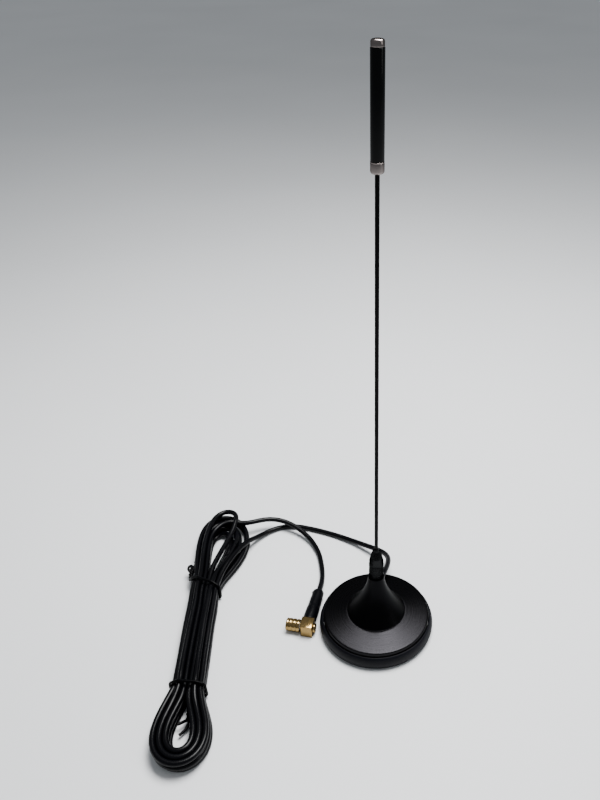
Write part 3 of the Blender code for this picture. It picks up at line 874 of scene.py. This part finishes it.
def make_disc(materials):
    radius, low, top = span("cover_disc")
    slope_start, slope_end = (radius - 0.4, DISC_EDGE_Z), (span("neck")[0] + 0.3, top)
    loop = [
        (DISC_BORE_R, UNDERSIDE_Z),
        (DISC_LIP_BORE_R, UNDERSIDE_Z),
        (DISC_LIP_BORE_R, low),
        (radius, low),
        (radius, DISC_EDGE_Z - 0.45),
        (radius - 0.12, DISC_EDGE_Z - 0.14),
        *in_steps(slope_start, slope_end, 0.6),
        slope_end,
        (DISC_BORE_R, top),
    ]
    disc = turned_mesh("disc", loop, 192, sharp=50)
    piece("disc", disc, materials["brushed"], "base", "brushed_black", "cover_disc")


def make_neck(materials):
    """The flared neck, with a thin seam between its foot and the disc."""
    foot, _, high = span("neck")
    top = span("cover_disc")[2]
    seam = top + 0.25
    low = top + 0.3
    loop = [(NECK_SPIGOT_R, UNDERSIDE_Z), (NECK_SPIGOT_R, seam), (foot - 0.2, seam), (foot, low)]
    for i in range(1, NECK_RINGS):
        height = low + (high - low) * (i / NECK_RINGS) ** 1.3
        share = (height - top) / (high - top)
        loop.append((NECK_TOP_R + (foot - NECK_TOP_R) * (1 - share) ** NECK_FLARE, height))
    loop += [
        (NECK_TOP_R, high - 0.25),
        (NECK_TOP_R - 0.25, high),
        (NECK_BORE_R, high),
        (NECK_BORE_R, NECK_HOLLOW_TOP),
        (NECK_HOLLOW_R, NECK_HOLLOW_TOP),
        (NECK_HOLLOW_R, UNDERSIDE_Z),
    ]
    neck = turned_mesh("flared_neck", loop, 144)
    piece("flared_neck", neck, materials["anodised"], "base", "black_anodised", "neck")


def make_stud(materials):
    """The stud with its real thread, seen when the whip is unscrewed."""
    _, low, top = span("contact_stud")

    def thread(radius, height, angle):
        if radius < 1.2:
            return radius
        phase = (height / THREAD_PITCH - angle / (2 * math.pi)) % 1.0
        depth = THREAD_DEPTH * abs(2 * phase - 1)
        return radius - depth * min(1.0, (height - THREAD_LOW) / 0.4)

    loop = [(0.0, low), (STUD_R - 0.1, low), (STUD_R, low + 0.2), (STUD_R, THREAD_LOW)]
    loop += [(THREAD_R, THREAD_LOW)]
    loop += in_steps((THREAD_R, THREAD_LOW + 0.05), (THREAD_R, top - 0.4), THREAD_PITCH / 10)
    loop += [(THREAD_R, top - 0.4), (1.1, top), (0.0, top)]
    stud = turned_mesh("threaded_stud", loop, 64, thread, sharp=60)
    piece("threaded_stud", stud, materials["brass"], "base", "brass", "contact_stud")


def make_grommet(materials):
    """A tapered rubber strain relief with a lip against the neck and rings along it."""
    loop = [(1.3, -9.0), (2.0, -9.0), (2.0, -6.4), (2.0, -5.0)]
    for i in range(4):
        start = -4.4 + 1.05 * i
        r = 2.0 - 0.09 * i
        loop += [(r, start), (r, start + 0.55), (r - 0.2, start + 0.62), (r - 0.2, start + 0.98)]
    loop += [(1.62, -0.15), (1.5, 0.0), (1.3, 0.0)]
    mesh = turned_mesh("grommet", filleted(loop, 0.1), 48)
    turn = EXIT_DIRECTION.to_track_quat("Z", "Y").to_matrix().to_4x4()
    place = Matrix.Translation(EXIT_MOUTH * MM) @ turn
    return piece(
        "grommet", mesh, materials["rubber"], "base", "black_rubber", "cable_grommet", place=place
    )


# ---------------------------------------------------------------- ties


def tie_section(line, middle, turn):
    """Where the strands pass through a tie's plane, as (across, up)."""
    _, sideways, along = places_in_tie(line, middle, turn)
    spots = []
    for i in range(len(line) - 1):
        if along[i] * along[i + 1] <= 0 and abs(sideways[i]) < TIE_REACH:
            share = along[i] / (along[i] - along[i + 1])
            up = line[i, 2] + (line[i + 1, 2] - line[i, 2]) * share
            spots.append(Vector((sideways[i] + (sideways[i + 1] - sideways[i]) * share, up)))
    return spots


def tight_loop(spots):
    """The wire's path pulled tight round the strands."""
    reach = CORD_R + TIE_R + 0.03
    path = []
    for i in range(TIE_STEPS):
        angle = 2 * math.pi * i / TIE_STEPS
        way = Vector((math.cos(angle), math.sin(angle)))
        path.append(max(spots, key=lambda spot: spot.dot(way)) + way * reach)
    return path


def twisted(path, phase):
    """One wire of a pair twisted round a path."""
    line = evenly(path, TWIST_STEP)
    ahead = np.gradient(line, axis=0)
    ahead /= np.linalg.norm(ahead, axis=1)[:, None]
    side = np.cross(ahead, (0.0, 0.0, 1.0))
    side /= np.linalg.norm(side, axis=1)[:, None]
    up = np.cross(side, ahead)
    angle = phase + np.arange(len(line)) * TWIST_STEP / TWIST_PITCH * 2 * math.pi
    reach = TIE_R * 1.02
    return line + reach * (side * np.cos(angle)[:, None] + up * np.sin(angle)[:, None])


def make_tie(name, line, material):
    """A wire tie: a tight loop, its two ends twisted along a tail, and the cut ends splayed."""
    middle, _, turn = TIES[name]
    tail = TIE_TAILS[name]
    place = Matrix.Translation((*middle, 0.0)) @ Matrix.Rotation(turn, 4, "Z")
    spots = tie_section(line, middle, turn)
    loop = [place @ Vector((p.x, 0.0, max(p.y, TIE_R + 0.08))) for p in tight_loop(spots)]
    nearest = min(range(len(loop)), key=lambda i: (loop[i] - Vector(tail[0])).length)
    loop = loop[nearest + 1 :] + loop[:nearest]
    first, last = ([*twisted(tail, math.pi * i), *end] for i, end in enumerate(TIE_ENDS[name]))
    wire = wire_curve(name, evenly([*reversed(first), *loop, *last], 0.3), TIE_R)
    return piece(name + "_wire", wire, material, "base", "tie_plastic", name)


# ---------------------------------------------------------------- plug


def make_plug(materials, plug_frame):
    """The right-angle plug; its frame's +Y is where the lead leaves and -X is where it mates."""
    low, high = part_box("plug_body")
    size = Vector((BLOCK_X, BLOCK_Y, (high.z - low.z) / MM))
    half = size / 2
    to_mate = Matrix.Translation((0, 0, half.z * MM)) @ Matrix.Rotation(-math.pi / 2, 4, "Y")
    to_lead = Matrix.Translation((0, 0, half.z * MM)) @ Matrix.Rotation(-math.pi / 2, 4, "X")
    world = Matrix.Translation(plug_frame.translation * MM) @ plug_frame.to_3x3().to_4x4()
    pieces = []

    def add(name, mesh, material, slot, node_name, turn):
        place = world @ turn
        pieces.append(piece(name, mesh, materials[material], "base", slot, node_name, place=place))

    add("plug_block", block_mesh(size), "gold", "gold_plate", "plug_body", Matrix.Identity(4))

    seat = -half.x
    face = seat - CAP_PROUD
    loop = [
        (0.0, face),
        (1.1, face),
        (1.2, face + 0.15),
        (1.35, face),
        (1.8, face),
        (2.12, face + 0.15),
        (CAP_R, face + 0.45),
        (CAP_R, seat + 0.5),
        (0.0, seat + 0.5),
    ]
    mesh = turned_mesh("plug_cap_disc", filleted(loop, 0.12), 64)
    add("plug_cap_disc", mesh, "gold", "gold_plate", "plug_cap", to_mate)

    start = half.x + PLUG_GAP
    tip = start + BARREL_LENGTH
    loop = [(BARREL_BORE_R, start), (3.0, start)]
    for i in range(BARREL_RINGS):
        low = start + 0.1 + BARREL_RING_STEP * i
        loop += [(3.0, low), (3.2, low + 0.25), (3.25, low + 0.45), (3.25, low + 1.25)]
        loop += [(3.18, low + 1.5), (3.0, low + 1.7)]
    loop += [(3.1, tip - 0.8), (3.15, tip - 0.6), (3.1, tip - 0.2), (2.95, tip), (2.55, tip)]
    loop += [(BARREL_BORE_R, tip - 0.2)]
    mesh = turned_mesh("plug_rings", filleted(loop, 0.14))
    add("plug_rings", mesh, "gold", "gold_plate", "plug_barrel", to_mate)

    loop = [(PIN_BORE_R, start), (2.08, start), (2.08, tip - 2.0), (1.9, tip - 1.8), (0.9, tip - 1.8)]
    loop += [(PIN_BORE_R, tip - 2.1)]
    mesh = turned_mesh("plug_dielectric", filleted(loop, 0.1), 48)
    add("plug_dielectric", mesh, "white_plastic", "white_plastic", "plug_insulator", to_mate)

    loop = [(0.0, start), (PIN_R, start), (PIN_R, tip - 1.8), (0.38, tip - 1.3), (0.2, tip - 1.12)]
    loop += [(0.0, tip - 1.1)]
    mesh = turned_mesh("plug_pin", loop, 32)
    add("plug_pin", mesh, "gold", "gold_plate", "plug_contact", to_mate)

    mesh = sleeve_mesh(half.y + 0.1, half.y + PLUG_GAP + SLEEVE_LENGTH)
    add("shrink_sleeve", mesh, "shrink", "heat_shrink", "plug_sleeve", to_lead)
    return pieces


def sleeve_mesh(start, end):
    """The heat-shrink, wide over the crimp and narrow over the lead, with a nub at its end."""
    loop = [
        (CRIMP_BORE_R, start),
        (3.15, start),
        (3.38, start + 0.3),
        (3.43, start + 3.0),
        (3.43, start + 6.0),
        (3.38, start + 8.2),
        (3.28, start + 8.8),
        (3.2, start + 9.4),
        (3.12, start + 14.0),
        (3.02, end - 1.6),
        (2.9, end - 0.3),
        (2.7, end),
        (2.0, end),
        (1.7, end - 0.8),
        (LEAD_BORE_R, end - 0.9),
        (LEAD_BORE_R, start + CRIMP_BORE_LENGTH),
        (CRIMP_BORE_R, start + CRIMP_BORE_LENGTH),
    ]
    fine = [point for a, b in zip(loop, loop[1:] + loop[:1]) for point in in_steps(a, b, 0.35)]

    def shrunk(radius, height, angle):
        if radius < 2.1 or height < start + 0.3 or height > end - 0.1:
            return radius
        wrinkle = 0.03 * math.sin(3 * angle + 0.5 * height) + 0.015 * math.sin(7 * angle - 0.9 * height)
        nub = 0.4 * math.exp(-(((height - end + 1.2) / 0.7) ** 2) - ((angle - 3.3) / 0.35) ** 2)
        return radius + wrinkle + nub

    return turned_mesh("shrink_sleeve", fine, SIDES, shrunk, sharp=60)


def block_mesh(size):
    """The plug's block, standing on the surface, with eased edges and a recess for its cap."""
    bm = bmesh.new()
    bmesh.ops.create_cube(bm, size=1.0)
    placed = Matrix.Translation((0, 0, size.z / 2)) @ Matrix.Diagonal((*size, 1.0))
    bmesh.ops.transform(bm, matrix=placed, verts=bm.verts)
    corner = [e for e in bm.edges if all(v.co.x < 0 and v.co.y < 0 for v in e.verts)]
    bmesh.ops.bevel(bm, geom=corner, offset=1.0, segments=1, profile=0.5, affect="EDGES")
    bmesh.ops.bevel(bm, geom=bm.edges[:], offset=0.35, segments=3, profile=0.5, affect="EDGES")
    wall = max((f for f in bm.faces if f.normal.x > 0.99), key=lambda f: f.calc_area())
    rim = list(wall.edges)
    x, y, z = wall.calc_center_median()
    bm.faces.remove(wall)
    mouth = []
    for i in range(RECESS_SIDES):
        angle = 2 * math.pi * i / RECESS_SIDES
        mouth.append(bm.verts.new((x, y + RECESS_R * math.cos(angle), z + RECESS_R * math.sin(angle))))
    bottom = [bm.verts.new((x - RECESS_DEPTH, v.co.y, v.co.z)) for v in mouth]
    edge = [bm.edges.new(pair) for pair in zip(mouth, mouth[1:] + mouth[:1])]
    bmesh.ops.bridge_loops(bm, edges=rim + edge)
    for i in range(RECESS_SIDES):
        bm.faces.new((mouth[i - 1], mouth[i], bottom[i], bottom[i - 1]))
    bm.faces.new(bottom)
    return mesh_from(bm, "plug_block", 40)


# ---------------------------------------------------------------- materials


def make_materials():
    """Every finish, by name."""
    return {
        "rubber": soft_material(
            "rubber_look", (0.0014, 0.0015, 0.003), 0.46, 0.35, 0.03, dust=0.012, shine=0.1
        ),
        "jacket": soft_material(
            "jacket_look", (0.0006, 0.0006, 0.0011), 0.24, 0.5, 0.01, dust=0.008, shine=0.12
        ),
        "tie": soft_material("tie_look", (0.0006, 0.0006, 0.0009), 0.3, 0.4, 0.01, shine=0.07),
        "shrink": soft_material(
            "shrink_look", (0.0006, 0.0006, 0.0013), 0.3, 0.6, 0.02, dust=0.01, shine=0.08
        ),
        "black_paint": soft_material(
            "paint_look", (0.0005, 0.0005, 0.0007), 0.3, 0.4, 0.006, dust=0.01, shine=0.05
        ),
        "gloss_black": soft_material(
            "gloss_look", (0.0004, 0.0007, 0.0008), 0.16, 1.2, 0.004, coat=0.1, shine=0.08
        ),
        "anodised": metal_material(
            "anodised_look", (0.0045, 0.0045, 0.005), 0.32, "turned", 0.3, 0.006, turn=0.5, edge=0.62
        ),
        "knurl": metal_material("knurl_look", (0.015, 0.0155, 0.016), 0.24, edge=0.1),
        "brushed": metal_material(
            "brushed_look", (0.0105, 0.0102, 0.0112), 0.27, "turned", 0.4, 0.006, turn=0.75, edge=0.6
        ),
        "nickel": metal_material(
            "nickel_look", (0.24, 0.21, 0.20), 0.1, "turned", 0.3, 0.002, edge=0.3
        ),
        "gold": metal_material("gold_look", (0.3, 0.2, 0.078), 0.13, depth=0.012, stain=0.25, edge=0.4),
        "brass": metal_material("brass_look", (0.72, 0.56, 0.27), 0.28, "turned", 0.2, 0.003),
        "tinned": metal_material("tinned_look", (0.66, 0.66, 0.65), 0.34, depth=0.01, stain=0.25),
        "zinc": metal_material("zinc_look", (0.55, 0.56, 0.58), 0.36, "drawn", 0.3, 0.006, stain=0.3),
        "copper": metal_material("copper_look", (0.70, 0.33, 0.18), 0.26, depth=0.003, stain=0.2),
        "ferrite": soft_material("ferrite_look", (0.05, 0.05, 0.055), 0.6, 0.8, 0.06),
        "white_plastic": soft_material("white_plastic_look", (0.78, 0.77, 0.73), 0.42, 0.5, 0.01),
    }


def dress_nodes(materials):
    """Gives the CAD nodes that stay the finish of their material."""
    finishes = {
        "ferrite": ["ring_magnet"],
        "zinc": ["magnet_yoke", "neck_screw_1", "neck_screw_2", "neck_screw_3"],
        "tinned": ["earth_lug", "lock_washer_2", "lock_washer_3", "solder_lug"],
        "white_plastic": ["insulator_bush", "coil_former"],
        "brass": ["stud_nut"],
        "copper": ["loading_coil"],
        "gold": ["plug_crimp"],
    }
    for finish, nodes in finishes.items():
        for name in nodes:
            frame["nodes"][name].material_slots[0].material = materials[finish]


# ---------------------------------------------------------------- stage


def make_stage():
    mesh = bpy.data.meshes.new("floor")
    half = 6.0
    corners = [(-half, -half, 0), (half, -half, 0), (half, half, 0), (-half, half, 0)]
    mesh.from_pydata(corners, [], [(0, 1, 2, 3)])
    material, tree, surface = start_material("floor_look")
    broad = noise(tree, object_place(tree), 3.0, 2.0)
    tree.links.new(
        tone(tree, spread(tree, broad, 0.0, 1.0), (0.70, 0.71, 0.72), (0.74, 0.75, 0.76)),
        surface.inputs["Base Color"],
    )
    surface.inputs["Roughness"].default_value = 0.6
    mesh.materials.append(material)
    floor = bpy.data.objects.new("floor", mesh)
    bpy.context.scene.collection.objects.link(floor)

    world = bpy.data.worlds.new("studio")
    world.use_nodes = True
    sky = world.node_tree
    direction = node(sky, "ShaderNodeTexCoord").outputs["Generated"]
    rise = node(sky, "ShaderNodeSeparateXYZ", {"Vector": direction}).outputs["Z"]
    background = sky.nodes["Background"]
    background.inputs["Color"].default_value = (0.80, 0.84, 0.88, 1.0)
    sky.links.new(spread(sky, rise, 0.3, 0.5, 0.0, 1.0), background.inputs["Strength"])
    bpy.context.scene.world = world

    add_light("overhead", (0.08, 0.12, 0.62), (0.36, 0.3), 10.3)
    add_light("side", (1.05, -0.35, 0.55), (0.10, 0.9), 1.5)


def add_light(name, place, size, power):
    data = bpy.data.lights.new(name, "AREA")
    data.shape = "RECTANGLE"
    data.size, data.size_y = size
    data.energy = power
    light = bpy.data.objects.new(name, data)
    light.location = place
    aim = Vector((0.0, 0.0, 0.05)) - Vector(place)
    light.rotation_euler = aim.to_track_quat("-Z", "Y").to_euler()
    bpy.context.scene.collection.objects.link(light)


# ---------------------------------------------------------------- the whole


def find_plug_frame():
    """The plug's frame in millimetres, from its block's box and its mating face's axis."""
    low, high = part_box("plug_body")
    middle = (low + high) / 2 / MM
    mount = next(m for m in frame["record"]["mounts"] if m["name"] == "plug_face")
    turn = math.atan2(-mount["axis"][1], -mount["axis"][0])
    return Matrix.Translation((middle.x, middle.y, 0.0)) @ Matrix.Rotation(turn, 4, "Z")


make_camera()
MATERIALS = make_materials()
PLUG_FRAME = find_plug_frame()
lead, lead_line = make_lead(MATERIALS["jacket"], PLUG_FRAME)
tie_upper = make_tie("tie_upper", lead_line, MATERIALS["tie"])
tie_lower = make_tie("tie_lower", lead_line, MATERIALS["tie"])
plug_pieces = make_plug(MATERIALS, PLUG_FRAME)
for make in (make_boot, make_pad, make_disc, make_neck, make_stud):
    make(MATERIALS)
grommet = make_grommet(MATERIALS)
for make in (make_ferrule, make_seal, make_rod, make_tube, make_lower_cap, make_upper_cap):
    make(MATERIALS)
dress_nodes(MATERIALS)
make_stage()
